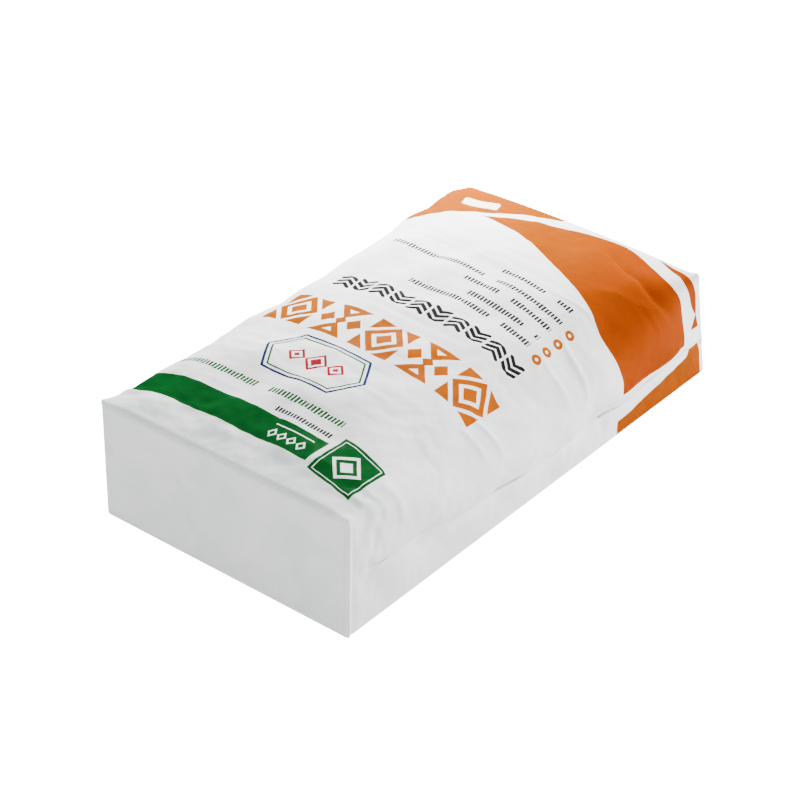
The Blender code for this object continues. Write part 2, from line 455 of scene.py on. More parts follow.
def simulated_wrinkles(points, film, pad):
    """How far each point of a coarse shell moves as cloth a little too large for its filling."""
    obj = mesh_from_rings("wrinkle_cloth", points, film)
    start = vertex_places(obj.data)
    x, _, z = start.T
    from_end = np.minimum(x + LENGTH / 2, LENGTH / 2 - END_LEAN[1] * z / HEIGHT - x)
    held = 1.0 - np.clip((from_end - HELD_FROM) / HELD_FADE, 0.0, 1.0) * (1.0 - HELD_LEAST)
    held = np.round(np.where(z < FLOOR_HELD, 1.0, held), 2)
    group = obj.vertex_groups.new(name="held")
    for weight in np.unique(held):
        group.add(np.nonzero(held == weight)[0].tolist(), float(weight), "REPLACE")
    cloth = obj.modifiers.new("cloth", "CLOTH")
    for setting, value in CLOTH.items():
        setattr(cloth.settings, setting, value)
    cloth.settings.vertex_group_mass = "held"
    cloth.settings.effector_weights.gravity = 0
    cloth.collision_settings.use_collision = False
    cloth.point_cache.frame_start = 1
    cloth.point_cache.frame_end = SIMULATED_FRAMES
    scene = bpy.context.scene
    for number in range(1, SIMULATED_FRAMES + 1):
        scene.frame_set(number)
    evaluated = obj.evaluated_get(bpy.context.evaluated_depsgraph_get())
    shift = vertex_places(evaluated.to_mesh()) - start
    evaluated.to_mesh_clear()
    scene.frame_set(1)
    bpy.data.objects.remove(obj, do_unlink=True)
    rows, ring = points.shape[:2]
    return shift[:rows * ring].reshape(rows, ring, 3)[pad:-pad]


def cubic_weights(places, knots, closed):
    """A matrix that reads a smooth curve through values at the knots, at these places."""
    count = len(knots)
    where = np.interp(places, np.append(knots, 1.0) if closed else knots,
                      np.arange(count + 1 if closed else count))
    base = np.floor(where).astype(int)
    base = base if closed else np.minimum(base, count - 2)
    t = where - base
    weights = np.zeros((len(places), count))
    parts = (
        (-1, -0.5 * t + t ** 2 - 0.5 * t ** 3),
        (0, 1.0 - 2.5 * t ** 2 + 1.5 * t ** 3),
        (1, 0.5 * t + 2.0 * t ** 2 - 1.5 * t ** 3),
        (2, -0.5 * t ** 2 + 0.5 * t ** 3),
    )
    rows = np.arange(len(places))
    for offset, part in parts:
        index = base + offset
        index = index % count if closed else np.clip(index, 0, count - 1)
        np.add.at(weights, (rows, index), part)
    return weights


def ring_shares(film_row):
    """The share of the way round a ring at which each of its points lies."""
    distance = film_row - film_row[0]
    return distance / (2.0 * distance[-1] - distance[-2])


def wrinkles_on(film, pad):
    """The simulated wrinkles, read at each point of the fine shell."""
    coarse, coarse_film, coarse_pad = shell_grid(COARSE)
    shift = simulated_wrinkles(coarse, coarse_film, coarse_pad)
    size = np.linalg.norm(shift, axis=2, keepdims=True)
    shift = shift / np.maximum(1.0, size / WRINKLE_CAP)
    film = film[pad:-pad]
    stations = [station_shares(density["step"]) for density in (FINE, COARSE)]
    rings = [ring_shares(rows[len(rows) // 2, :, 1]) for rows in (film, coarse_film[coarse_pad:-coarse_pad])]
    along, around = cubic_weights(*stations, closed=False), cubic_weights(*rings, closed=True)
    wrinkles = np.einsum("ai,ijk,bj->abk", along, shift, around, optimize=True)
    return WRINKLE_SHARE * wrinkles * calm(film[:, :, 0], film[:, :, 1])[:, :, None]


def crease(x, s, line, height, left, right):
    """A ridge or a valley that fades out towards both ends of its line. Left and right are
    its widths on the two sides of the line."""
    line = np.array(line)
    lengths = np.hypot(*(line[1:] - line[:-1]).T)
    total = np.zeros(x.shape)
    nearest = np.full(x.shape, np.inf)
    passed = 0.0
    for (from_x, from_s), (to_x, to_s), length in zip(line, line[1:], lengths):
        run_x, run_s = (to_x - from_x) / length, (to_s - from_s) / length
        dx, ds = x - from_x, s - from_s
        along = np.clip(dx * run_x + ds * run_s, 0.0, length)
        apart = np.hypot(dx - along * run_x, ds - along * run_s)
        side = np.where(dx * run_s - ds * run_x > 0.0, left, right)
        fade = 1.0 - np.abs(2.0 * (passed + along) / lengths.sum() - 1.0) ** 3
        closer = apart < nearest
        profile = np.clip(1.0 - apart / side, 0.0, 1.0) ** 2
        total = np.where(closer, height * fade * profile, total)
        nearest = np.where(closer, apart, nearest)
        passed += length
    return total


def calm(x, s):
    """How strong the random wrinkles are: weaker where the valve end's own creases lie."""
    dx, ds = (x - CALM_PLACE[0]) / CALM_SIZE[0], (s - CALM_PLACE[1]) / CALM_SIZE[1]
    return 1.0 - CALM * np.exp(-dx ** 2 - ds ** 2)


def surface_height(points, film):
    """How far each point of the tube stands proud along its normal."""
    x, s = film[:, :, 0], film[:, :, 1]
    y, z = points[:, :, 1], points[:, :, 2]
    from_bottom = x + LENGTH / 2
    from_valve = LENGTH / 2 - x
    off_floor = smooth_step(z / 0.02)
    off_ends = smooth_step(np.minimum(from_bottom, from_valve) / 0.03)
    upright = smooth_step((np.abs(y) - WIDTH / 2 + 0.012) / 0.008) * smooth_step((0.148 - z) / 0.01)

    height = np.zeros_like(x)
    bead = np.exp(-(from_bottom / BEAD_WIDTH) ** 2) * BEAD_HEIGHT
    hollow = np.exp(-((from_bottom - 0.0055) / 0.0025) ** 2) * BEAD_HEIGHT * 0.45
    height += (bead - hollow) * upright

    fold = fold_heights(np.clip(x[:, 0] / LENGTH + 0.5, 0.0, 1.0), y < 0)
    beside = smooth_step((np.abs(y) - WIDTH / 2 + 0.015) / 0.008)
    uneven = 0.85 + 0.15 * ripples(x, 0.0, 0.09, 9)
    strength = smooth_step((from_bottom - GROOVE_START) / GROOVE_FADE) * uneven
    groove = np.exp(-((z - fold) / np.where(z > fold, GROOVE_RISE, GROOVE_FALL)) ** 2)
    lip = np.exp(-((z - fold - LIP_RISE) / LIP_WIDTH) ** 2)
    height += beside * strength * (LIP_SHARE * lip - groove) * GROOVE_DEPTH

    for line in CREASES:
        height += crease(x, s, *line)
    soft = off_floor * off_ends * calm(x, s)
    for size, wavelength, seed in FILM_RIPPLES:
        height += soft * size * ripples(x, s, wavelength, seed)
    near_bottom = np.exp(-((from_bottom - 0.035) / 0.03) ** 2)
    shown = off_floor * near_bottom * smooth_step(from_bottom / 0.01)
    size, wavelength, seed = BOTTOM_PUCKERS
    return height + shown * size * ripples(x, s, wavelength, seed)


def corner_ears(points):
    """The sharp tips that the folded film makes at the top corners of the ends."""
    shift = np.zeros_like(points)
    for side, across, rise in EARS:
        tip = np.array([side * (LENGTH / 2 - END_LEAN[side]), across * WIDTH / 2, HEIGHT])
        apart = np.linalg.norm(points - tip, axis=2)
        size = np.exp(-(apart / EAR_SIZE) ** 2)[:, :, None]
        shift += size * rise * np.array([0.35 * side, 0.25 * across, 1.0])
    return shift


def end_relief(side, y, rise):
    """How the folded end under a cover patch stands proud: soft dents and the fold lines."""
    inside = smooth_step((WIDTH / 2 - np.abs(y)) / END_FADE_ACROSS)
    inside = inside * smooth_step(np.minimum(rise, HEIGHT - rise) / END_FADE_UP)
    dents = sum(
        size * ripples(y, rise, wavelength, END_SEEDS[side] + index)
        for index, (size, wavelength) in enumerate(END_DENTS)
    )
    corner = WIDTH / 2 - np.abs(y) - np.abs(rise - HEIGHT / 2)
    overlap = OVERLAP_HEIGHT * smooth_step((rise - HEIGHT / 2 + OVERLAP_DROP) / 0.0025)
    folds = END_FOLD_HEIGHT * np.exp(-(corner / END_FOLD_WIDTH) ** 2) + overlap
    return inside * (dents + folds)


def add_bag():
    points, film, pad = shell_grid(FINE)
    tube = points[pad:-pad]
    normals = grid_normals(tube)
    height = surface_height(tube, film[pad:-pad])
    shifted = tube + normals * height[:, :, None]
    shifted = shifted + wrinkles_on(film, pad)
    shifted[:, :, 2] = np.maximum(shifted[:, :, 2], 0.0)
    dented = points.copy()
    dented[pad:-pad] = shifted
    for rows, side in ((slice(0, pad), -1), (slice(-pad, None), 1)):
        _, y, z = np.moveaxis(points[rows], 2, 0)
        under_patch = np.minimum(WIDTH / 2 - np.abs(y), np.minimum(z, HEIGHT - z)) - PATCH_MARGIN
        sunk = END_FACE_SINK * smooth_step(under_patch / 0.006)
        dented[rows][:, :, 0] += side * (end_relief(side, y, z) - sunk)
    dented += corner_ears(points)
    bag = mesh_from_rings("printed_bag", dented, film)
    bag.data.materials.append(printed_film_material())
    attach(bag, "root")
    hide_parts("bag_body")
    return bag


# Cover patches and valve sleeve

def end_point(side, y, rise, lift):
    """A point over an end face, at this height up its slope and this far off it."""
    end_lean = END_LEAN[side]
    slope = math.hypot(end_lean, HEIGHT)
    out = side * (LENGTH / 2 + lift * HEIGHT / slope)
    return np.stack([
        out - side * rise * end_lean / slope, y, rise * HEIGHT / slope + lift * end_lean / slope
    ], axis=-1)


def sleeve_span():
    """(inner end, mouth, lowest, highest) of the valve sleeve on the valve end."""
    mouth = WIDTH / 2 - SLEEVE_MOUTH_INSET
    middle = HEIGHT / 2
    return mouth - SLEEVE_LENGTH, mouth, middle - SLEEVE_WIDTH / 2, middle + SLEEVE_WIDTH / 2


def sleeve_bump(y, rise):
    """How far the patch over the sleeve is lifted by it."""
    inner, _, low, high = sleeve_span()
    ramp = SLEEVE_RAMP
    across = smooth_step((y - inner + ramp) / ramp)
    up = smooth_step((rise - low + ramp) / ramp) * smooth_step((high + ramp - rise) / ramp)
    return (SLEEVE_GAP + SLEEVE_THICKNESS) * across * up


def add_patch(name, side, node):
    """A woven patch glued over the folds of an end, as a thin closed sheet."""
    half = WIDTH / 2 - PATCH_MARGIN
    low, high = PATCH_MARGIN, HEIGHT - PATCH_MARGIN
    columns, rows = np.linspace(-half, half, PATCH_COLUMNS), np.linspace(low, high, PATCH_ROWS)
    y, rise = np.meshgrid(columns, rows, indexing="ij")
    relief = end_relief(side, y, rise)
    bump = sleeve_bump(y, rise) if side > 0 else 0.0
    size, wavelength, seed = PATCH_WAVE
    wave = size * ripples(y, rise, wavelength, seed + side)
    edge = np.minimum(half - np.abs(y), np.minimum(rise - low, high - rise))
    settled = smooth_step(edge / PATCH_SETTLE)
    radius = top_edge_radius(y, side)
    over_edge = np.maximum(rise - HEIGHT + radius, 0.0) if side < 0 else 0.0
    relief = relief - radius + np.sqrt(radius ** 2 - over_edge ** 2)
    back = PATCH_LIFT + relief + bump + settled * (PATCH_SLACK + wave)
    front = back + PATCH_FILM * np.sqrt(np.clip(edge / PATCH_RIM, PATCH_RIM_SHARE, 1.0))
    layers = np.stack([end_point(side, y, rise, back), end_point(side, y, rise, front)])
    grid = np.arange(y.size).reshape(y.shape)
    quads = np.stack([grid[:-1, :-1], grid[1:, :-1], grid[1:, 1:], grid[:-1, 1:]], axis=2).reshape(-1, 4)
    if side > 0:
        quads = quads[:, ::-1]
    faces = quads.tolist() + (quads[:, ::-1] + grid.size).tolist()
    rim = [*grid[:, 0], *grid[-1, 1:], *grid[-2::-1, -1], *grid[0, -2:0:-1]]
    for a, b in zip(rim, rim[1:] + rim[:1]):
        quad = (a, a + grid.size, b + grid.size, b)
        faces.append(quad if side < 0 else quad[::-1])
    mesh = bpy.data.meshes.new(name)
    mesh.from_pydata(layers.reshape(-1, 3).tolist(), [], faces)
    mesh.update()
    mesh.shade_smooth()
    mesh.set_sharp_from_angle(angle=math.radians(50.0))
    patch = add_object(name, mesh)
    mesh.materials.append(patch_film_material("patch_film_" + name))
    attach(patch, "root")
    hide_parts(node)


def add_sleeve():
    """The flattened sleeve, a thin-walled tube whose mouth shows two layers pressed shut."""
    inner, mouth, low, high = sleeve_span()
    half = (high - low) / 2
    turn = np.linspace(0.0, 2.0 * np.pi, SLEEVE_STEPS, endpoint=False)

    def ring(y, width, thickness):
        """A flat closed outline across the sleeve, thin at both edges."""
        rise = (low + high) / 2 + width * np.sign(np.cos(turn)) * np.abs(np.cos(turn)) ** 0.6
        lift = SLEEVE_GAP + SLEEVE_THICKNESS / 2
        lift = lift + thickness / 2 * np.sign(np.sin(turn)) * np.abs(np.sin(turn)) ** 0.5
        y = y + 0.0 * rise
        return end_point(1, y, rise, lift + end_relief(1, y, rise))

    def closing(y, width, thickness):
        """Rings that shrink towards the middle of a closed end, so that it follows the dents."""
        shares = np.linspace(0.95, 0.05, CLOSING_RINGS)
        return [ring(y, width * share, thickness * share) for share in shares]

    outer = [ring(y, half, SLEEVE_THICKNESS) for y in np.linspace(inner, mouth, SLEEVE_RINGS)]
    depth = np.linspace(mouth, inner + SLEEVE_CLOSED_END, SLEEVE_RINGS)
    narrow, thin = half - CAVITY_MARGIN, SLEEVE_THICKNESS * CAVITY_SHARE
    cavity = [ring(y, narrow, thin) for y in depth]
    start = closing(inner, half, SLEEVE_THICKNESS)[::-1]
    points = np.stack(start + outer + cavity + closing(depth[-1], narrow, thin))[:, ::-1]
    sleeve = mesh_from_rings("valve_sleeve_film", points, film=points[:, :, (2, 1)])
    sleeve.data.set_sharp_from_angle(angle=math.radians(60.0))
    sleeve.data.materials.append(sleeve_film_material())
    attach(sleeve, "root")
    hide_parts("valve_sleeve")


# Materials

INK_EDGE = 0.0004
TAPE = 0.0025
SLEEVE_TAPE = 0.0022
FILM_IOR = 1.49
WHITE_FILM = (0.80, 0.815, 0.80)
ORANGE = (0.235, 0.034, 0.0)
# Painted light: an orange made darker and yellower, laid towards the far side to offset the stronger light
# falling there
PAINTED_LIGHT_FAR_ORANGE = (0.205, 0.044, 0.0)
# Painted light: a lighter orange for the side strip below the fold, standing in for the light on that side
PAINTED_LIGHT_STRIP_ORANGE = (0.245, 0.048, 0.0)
TITLE_ORANGE = (0.32, 0.068, 0.0)
# Painted light: a darker title orange, laid towards the far side to offset the stronger light falling there
PAINTED_LIGHT_FAR_TITLE_ORANGE = (0.25, 0.060, 0.0)
GREEN = (0.004, 0.062, 0.011)
BLACK = (0.010, 0.010, 0.011)
GREY = (0.018, 0.019, 0.021)
NAVY = (0.010, 0.012, 0.070)
RED = (0.22, 0.004, 0.012)
LABEL_EDGE = (0.74, 0.62, 0.42)
LABEL_FACE = (0.80, 0.74, 0.62)
CLOUDED_FILM = (0.735, 0.76, 0.745)
BOTTOM_FILM = (0.66, 0.745, 0.70)
PATCH_FILM_WHITE = (0.79, 0.80, 0.79)
PATCH_CLOUDS = ((0.72, 0.75, 0.76), (0.68, 0.745, 0.71))
SLEEVE_FILM_WHITE = (0.70, 0.72, 0.73)
SLEEVE_CLOUD = (0.62, 0.65, 0.67)

# The print, in film coordinates: x along the bag, s round it from the top's middle. A row of
# tiles or marks has a start, a pitch and a count, and a row of bars has an x, a start and an end
STRIP_END_X = 0.3385
STRIP_END_S = 0.46
BAND = dict(x=(-0.301, -0.2590), s=(-0.078, 0.262))
PLATE = dict(x=-0.2745, s=-0.1205, half=0.0345, skew=0.20, from_s=-0.085)
FRAME_CENTRE = (-0.156, 0.029)
FRAME_HALF = (0.041, 0.064)
FRAME_MARKS = ((-0.0285, 0.0125), (0.0, 0.0165), (0.0285, 0.0125))
TITLE_X = -0.0685
TITLE_HALF = 0.034
TITLE_TILE_HALF = 0.0285
TITLE_ROW = (-0.160, 0.0645, 5)
BLACK_X = 0.015
BLACK_HALF = 0.014
BLACK_ROW = (-0.140, 0.0281, 10)
CHEVRON_PITCH = 0.0093
CHEVRON_SLOPE = 0.70
MARKS_X = -0.2845
MARKS_ROW = (-0.065, 0.0135, 4)
SMALL_ROWS = (
    (0.058, -0.117, 0.063), (0.0775, -0.117, -0.008), (0.101, -0.117, 0.014),
    (0.122, -0.118, 0.139), (0.149, -0.116, -0.010),
)
DOTS_X = (0.052, 0.073, 0.096, 0.120)
DOTS_S = -0.1355
DOT_RADIUS = 0.0068
DOT_CENTRE_RADIUS = 0.0023
LABEL_PLACE = (0.306, 0.121)
LABEL_HALF = (0.0245, 0.0128)
LABEL_RIM = 0.0016
LABEL_TURN = 18.9
LABEL_CORNER = 0.005


def feed(socket, value):
    """Gives an input a number, a colour, a term or the output of another node."""
    value = value.socket if isinstance(value, Term) else value
    if isinstance(value, bpy.types.NodeSocket):
        socket.id_data.links.new(value, socket)
    else:
        socket.default_value = value


def fill(node, values):
    """Feeds the inputs that have these names."""
    for name, value in values.items():
        feed(node.inputs[name], value)


class Term:
    """A number in a material's node tree, so that shapes can be written as sums."""

    def __init__(self, socket):
        self.socket = socket
        self.tree = socket.id_data

    def join(self, operation, *others, clamp=False):
        node = self.tree.nodes.new("ShaderNodeMath")
        node.operation = operation
        node.use_clamp = clamp
        for socket, value in zip(node.inputs, (self,) + others):
            feed(socket, value)
        return Term(node.outputs[0])

    __add__ = partialmethod(join, "ADD")
    __sub__ = partialmethod(join, "SUBTRACT")
    __mul__ = partialmethod(join, "MULTIPLY")
    least = partialmethod(join, "MINIMUM")
    most = partialmethod(join, "MAXIMUM")
    size = partialmethod(join, "ABSOLUTE")
    sine = partialmethod(join, "SINE")
    root = partialmethod(join, "SQRT")
    whole = partialmethod(join, "FLOOR")
    part = partialmethod(join, "FRACT")

    def __rsub__(self, other):
        return (self * -1.0) + other

    def ramp(self, start, end, low=0.0, high=1.0):
        """A smooth step from low at start to high at end."""
        node = self.tree.nodes.new("ShaderNodeMapRange")
        node.interpolation_type = "SMOOTHSTEP"
        fill(node, {"Value": self, "From Min": start, "From Max": end, "To Min": low, "To Max": high})
        return Term(node.outputs["Result"])

    def mask(self):
        """1 where this distance is below zero, with a soft edge."""
        return self.join("MULTIPLY_ADD", -1.0 / INK_EDGE, 0.5, clamp=True)


def span(value, low, high):
    """Distance outside the stretch from low to high."""
    return (value - (low + high) / 2).size() - (high - low) / 2


def disc(x, s, centre_x, centre_s, radius):
    dx, ds = x - centre_x, s - centre_s
    return (dx * dx + ds * ds).root() - radius


def lozenge(dx, ds, half_x, half_s):
    """Distance outside a diamond, from the sizes of the steps away from its centre."""
    scale = 1.0 / math.hypot(1.0 / half_x, 1.0 / half_s)
    return dx * (scale / half_x) + ds * (scale / half_s) - scale


def polygon(x, s, corners):
    """Distance outside a convex polygon, its corners in the turning sense of x towards s."""

    def beyond(start, end):
        (ax, a_s), (bx, b_s) = start, end
        length = math.hypot(bx - ax, b_s - a_s)
        return (x - ax) * ((b_s - a_s) / length) - (s - a_s) * ((bx - ax) / length)

    sides = (beyond(start, end) for start, end in zip(corners, corners[1:] + corners[:1]))
    return reduce(Term.most, sides)


def any_of(shapes):
    """Distance outside the nearest of several shapes."""
    return reduce(Term.least, shapes)


def outline(distance, width):
    """A line of this width just inside the edge that the distance measures."""
    return (distance + width / 2).size() - width / 2


def hexagon(x, s, centre, half, inset):
    """A long hexagon, pointed at both ends of its width."""
    dx, ds = (x - centre[0]).size(), (s - centre[1]).size()
    slant = dx * 0.5 + ds * 0.866
    reach = half[0] * 0.35 * 0.5 + half[1] * 0.866
    return (dx - (half[0] - inset)).most(slant - (reach - inset))


class Film:
    """A film material: its node tree and the colour laid so far."""

    def __init__(self, name, base):
        self.material = bpy.data.materials.new(name)
        self.material.use_nodes = True
        self.tree = self.material.node_tree
        self.colour = (*base, 1.0)

    def node(self, kind, **values):
        """A new node with these values in the inputs of these names."""
        node = self.tree.nodes.new("ShaderNode" + kind)
        fill(node, values)
        return node

    def object_vector(self):
        return self.node("TexCoord").outputs["Object"]

    def split(self, vector):
        return [Term(output) for output in self.node("SeparateXYZ", Vector=vector).outputs]

    def film_place(self):
        attribute = self.node("Attribute")
        attribute.attribute_name = "film"
        return self.split(attribute.outputs["Vector"])

    def noise(self, scale, detail, roughness, offset):
        """Smooth noise in space, around 0.5."""
        node = self.node("TexNoise", Vector=self.object_vector(), Scale=scale, Detail=detail)
        node.noise_dimensions = "4D"
        fill(node, {"W": offset, "Roughness": roughness})
        return Term(node.outputs["Fac"])

    def chance(self, *places):
        """A random number for each whole place, from 0 to 1."""
        combined = self.node("CombineXYZ", **dict(zip("XYZ", places))).outputs[0]
        return Term(self.node("TexWhiteNoise", Vector=combined).outputs["Value"])

    def lay(self, ink, mask):
        """Lays a colour over what is there, as strongly as the mask says."""
        mix = self.node("Mix")
        mix.data_type = "RGBA"
        sockets = {socket.identifier: socket for socket in (*mix.inputs, *mix.outputs)}
        feed(mix.inputs["Factor"], mask)
        feed(sockets["A_Color"], self.colour)
        feed(sockets["B_Color"], (*ink, 1.0))
        self.colour = sockets["Result_Color"]

    def shade(self, factor):
        """Multiplies the colour laid so far by a number."""
        scale = self.node("VectorMath")
        scale.operation = "SCALE"
        fill(scale, {"Vector": self.colour, "Scale": factor})
        self.colour = scale.outputs[0]

    def finish(self, roughness, height, gloss):
        """Sets the shader from the colour, a roughness term and a height in metres."""
        bump = self.node("Bump", Strength=1.0, Distance=1.0, Height=height)
        fill(self.tree.nodes["Principled BSDF"], {
            "Base Color": self.colour, "Roughness": roughness, "IOR": FILM_IOR,
            "Specular IOR Level": gloss, "Normal": bump.outputs["Normal"],
        })
        return self.material


def weave(x, s, pitch=TAPE):
    """Plain weave of flat tapes: 1 on a tape that lies over, -1 on one that goes under."""
    return (x * (math.pi / pitch)).sine() * (s * (math.pi / pitch)).sine()


def orange_fields(x, s):
    """Distance outside the orange fields round the valve end."""
    near_edge = s.ramp(-0.21, 0.10, 0.155, 0.270)
    far_reach = (s + 0.08).most(0.0)
    rising = 0.341 - far_reach * far_reach * 2.3
    falling = s.ramp(-0.185, -0.070, 0.304, 0.341)
    above_fold = x.ramp(0.14, 0.30, -0.236, -0.256) - s
    leaf = (near_edge - x).most(x - rising.least(falling)).most(above_fold).most(s - 0.10)

    step = s - 0.02
    far_edge = (0.340 - step * 0.45 - step * step * 3.6).most(0.172)
    above_far_fold = s - 0.2500
    field = (far_edge - x).most(0.018 - s).most(above_far_fold)

    strip_top = x.ramp(0.306, 0.324, -0.2800, -0.2730)
    strip = (s - strip_top).most(0.155 - x).most(x - STRIP_END_X).most(-STRIP_END_S - s)
    far_strip = (0.2745 - s).most(0.172 - x).most(x - STRIP_END_X).most(s - STRIP_END_S)

    bend = s + 0.195
    above, below = bend.most(0.0), bend.least(0.0)
    taper = above * above * 1.20 + below * below * 5.0
    turn = s.ramp(-0.200, -0.180) * s.ramp(-0.160, -0.180)
    crescent = (x + turn * 0.0035 - bend * bend * 2.9 - 0.3305).size() + taper - 0.0060
    tip = polygon(x, s, ((0.334, -0.227), (0.321, -0.244), (0.338, -0.249)))
    return any_of((leaf, field, strip, far_strip, crescent, tip))


def row_of_cells(s, start, pitch, count):
    """A row of equal cells: the step from the middle of a cell, whether the cell's number is
    odd, and the distance outside the row."""
    local = (s - start) * (1.0 / pitch)
    odd = (local.whole() * 0.5).part().join("GREATER_THAN", 0.25)
    return (local.part() - 0.5) * pitch, odd, span(s, start, start + count * pitch)


def title_tiles(x, s):
    """A row of big ornaments: nested diamonds in corners, and bow ties between dots."""
    step, odd, ends = row_of_cells(s, *TITLE_ROW)
    dx, ds = (x - TITLE_X).size(), step.size()
    block = (dx - TITLE_HALF).most(ds - TITLE_TILE_HALF)
    diamond = lozenge(dx, ds, TITLE_HALF, TITLE_TILE_HALF)
    nested = outline(diamond, 0.0078).least(diamond + 0.0130)
    nested = nested.least(block.most(0.0052 - diamond))
    slant = ds * 0.770 - dx * 0.638
    bow = (slant + 0.0035).most(dx - TITLE_HALF)
    bow_hole = (slant + 0.0115).most(dx - 0.0265)
    beside = lozenge(dx, (ds - 0.0195).size(), 0.0130, 0.0100)
    tied = bow.most(bow_hole * -1.0).least(beside).least(lozenge(dx, ds, 0.0090, 0.0080))
    return (nested + (tied - nested) * odd).most(ends)


def black_tiles(x, s):
    """A row of small blocks of chevrons that turn from one to the next."""
    ds, odd, ends = row_of_cells(s, *BLACK_ROW)
    dx = x - BLACK_X
    climb = dx * (odd * 2.0 - 1.0) + ds.size() * CHEVRON_SLOPE
    bars = (climb * (1.0 / CHEVRON_PITCH)).part() - 0.5
    bars = (bars.size() - 0.33) * (CHEVRON_PITCH * 0.82)
    reach = (climb - CHEVRON_PITCH * 0.5).size() - CHEVRON_PITCH * 1.49
    return bars.most(dx.size() - BLACK_HALF).most(ds.size() - 0.0124).most(reach).most(ends)


def dashes(film, x, s, row, start, end, half, pitch, seed):
    """A row of fine bars in groups of random lengths."""
    group = (s * (1.0 / (4.0 * pitch))).whole()
    gap = 0.16 - film.chance(group, row, seed)
    bar = s * (1.0 / pitch)
    height = film.chance(bar.whole(), row, seed + 1.0) * (half * 0.30) + half * 0.70
    bars = ((bar.part() - 0.5).size() - 0.33) * pitch
    return bars.most((x - row).size() - height).most(span(s, start, end)).most(gap)


def printed_film_material():
    film = Film("printed_film", WHITE_FILM)
    x, s, _ = film.film_place()
    print_x = x + (PLATE["from_s"] - s).most(0.0) * PLATE["skew"]

    film.lay(CLOUDED_FILM, film.noise(14.0, 3.0, 0.55, 2.0).ramp(0.35, 0.70))
    bottom = x.ramp(-0.22, -0.33) * s.ramp(-0.215, -0.165)
    film.lay(BOTTOM_FILM, bottom * film.noise(20.0, 2.0, 0.5, 3.0).ramp(0.30, 0.65))
    fields = orange_fields(x, s).mask()
    film.lay(ORANGE, fields)
    # Painted light: the orange is darker and yellower towards the far side, where the light falls stronger
    film.lay(PAINTED_LIGHT_FAR_ORANGE, fields * s.ramp(-0.17, 0.02))
    # Painted light: the orange below the side fold is made lighter, for the light on that side
    film.lay(PAINTED_LIGHT_STRIP_ORANGE, fields * s.ramp(-0.258, -0.268))
    film.lay(LABEL_EDGE, label_box(x, s, 0.0).mask())
    film.lay(LABEL_FACE, label_box(x, s, LABEL_RIM).mask())

    band = span(x, *BAND["x"]).most(span(s, *BAND["s"]))
    dx, ds = (print_x - PLATE["x"]).size(), (s - PLATE["s"]).size()
    plate = dx.most(ds) - PLATE["half"]
    film.lay(GREEN, band.least(plate).mask())
    inset = outline(plate + 0.0040, 0.0011)
    star = outline(lozenge(dx, ds, 0.0235, 0.0235), 0.0042).least(lozenge(dx, ds, 0.0105, 0.0105))
    film.lay(WHITE_FILM, inset.least(star).mask())
    film.lay(WHITE_FILM, band_marks(x, s).mask())

    film.lay(GREEN, dashes(film, x, s, -0.2250, -0.070, 0.175, 0.0058, 0.0048, 3.0).mask())
    film.lay(GREY, dashes(film, x, s, -0.2480, -0.072, 0.009, 0.0042, 0.0042, 4.0).mask())
    film.lay(NAVY, outline(hexagon(x, s, FRAME_CENTRE, FRAME_HALF, 0.0), 0.0031).mask())
    film.lay(GREEN, outline(hexagon(x, s, FRAME_CENTRE, FRAME_HALF, 0.0064), 0.0022).mask())
    film.lay(RED, frame_marks(x, s).mask())

    tiles = title_tiles(x, s).mask()
    film.lay(TITLE_ORANGE, tiles)
    # Painted light: the title's orange is darker towards the far side, where the light falls stronger
    film.lay(PAINTED_LIGHT_FAR_TITLE_ORANGE, tiles * s.ramp(-0.10, 0.08))
    film.lay(BLACK, black_tiles(x, s).mask())
    for index, (row, start, end) in enumerate(SMALL_ROWS):
        film.lay(GREY, dashes(film, x, s, row, start, end, 0.0052, 0.0046, 7.0 + index).mask())
    for ink, radius in ((TITLE_ORANGE, DOT_RADIUS), (WHITE_FILM, DOT_CENTRE_RADIUS)):
        film.lay(ink, any_of(disc(x, s, row, DOTS_S, radius) for row in DOTS_X).mask())

    woven = weave(x, s)
    grain = film.noise(160.0, 2.0, 0.6, 5.0)
    film.shade(woven * 0.012 + (grain - 0.5) * 0.03 + 1.0)
    roughness = film.noise(24.0, 3.0, 0.6, 7.0).ramp(0.3, 0.7, 0.38, 0.50)
    crinkle = film.noise(55.0, 3.0, 0.55, 9.0) * 0.0003
    return film.finish(roughness, woven * 0.000022 + crinkle, 0.03)


def label_box(x, s, inset):
    """A blank label: a rectangle with round corners, turned a little."""
    turn = math.radians(LABEL_TURN)
    dx, ds = x - LABEL_PLACE[0], s - LABEL_PLACE[1]
    along = (ds * math.cos(turn) - dx * math.sin(turn)).size() - (LABEL_HALF[0] - LABEL_CORNER)
    across = (dx * math.cos(turn) + ds * math.sin(turn)).size() - (LABEL_HALF[1] - LABEL_CORNER)
    along, across = along.most(0.0), across.most(0.0)
    return (along * along + across * across).root() - (LABEL_CORNER - inset)


def band_marks(x, s):
    """White diamonds with a fine rule over them, on the green band."""
    step, _, ends = row_of_cells(s, *MARKS_ROW)
    marks = outline(lozenge((x - MARKS_X).size(), step.size(), 0.0085, 0.0060), 0.0021)
    return marks.least(span(x, -0.2700, -0.2682)).most(ends)


def frame_marks(x, s):
    """Three red diamonds across the frame."""
    dx = (x - FRAME_CENTRE[0]).size()

    def mark(place, half):
        ds = (s - (FRAME_CENTRE[1] + place)).size()
        diamond = lozenge(dx, ds, half * 1.1, half)
        return outline(diamond, 0.0031).least(diamond + 0.0062)

    return any_of(mark(place, half) for place, half in FRAME_MARKS)


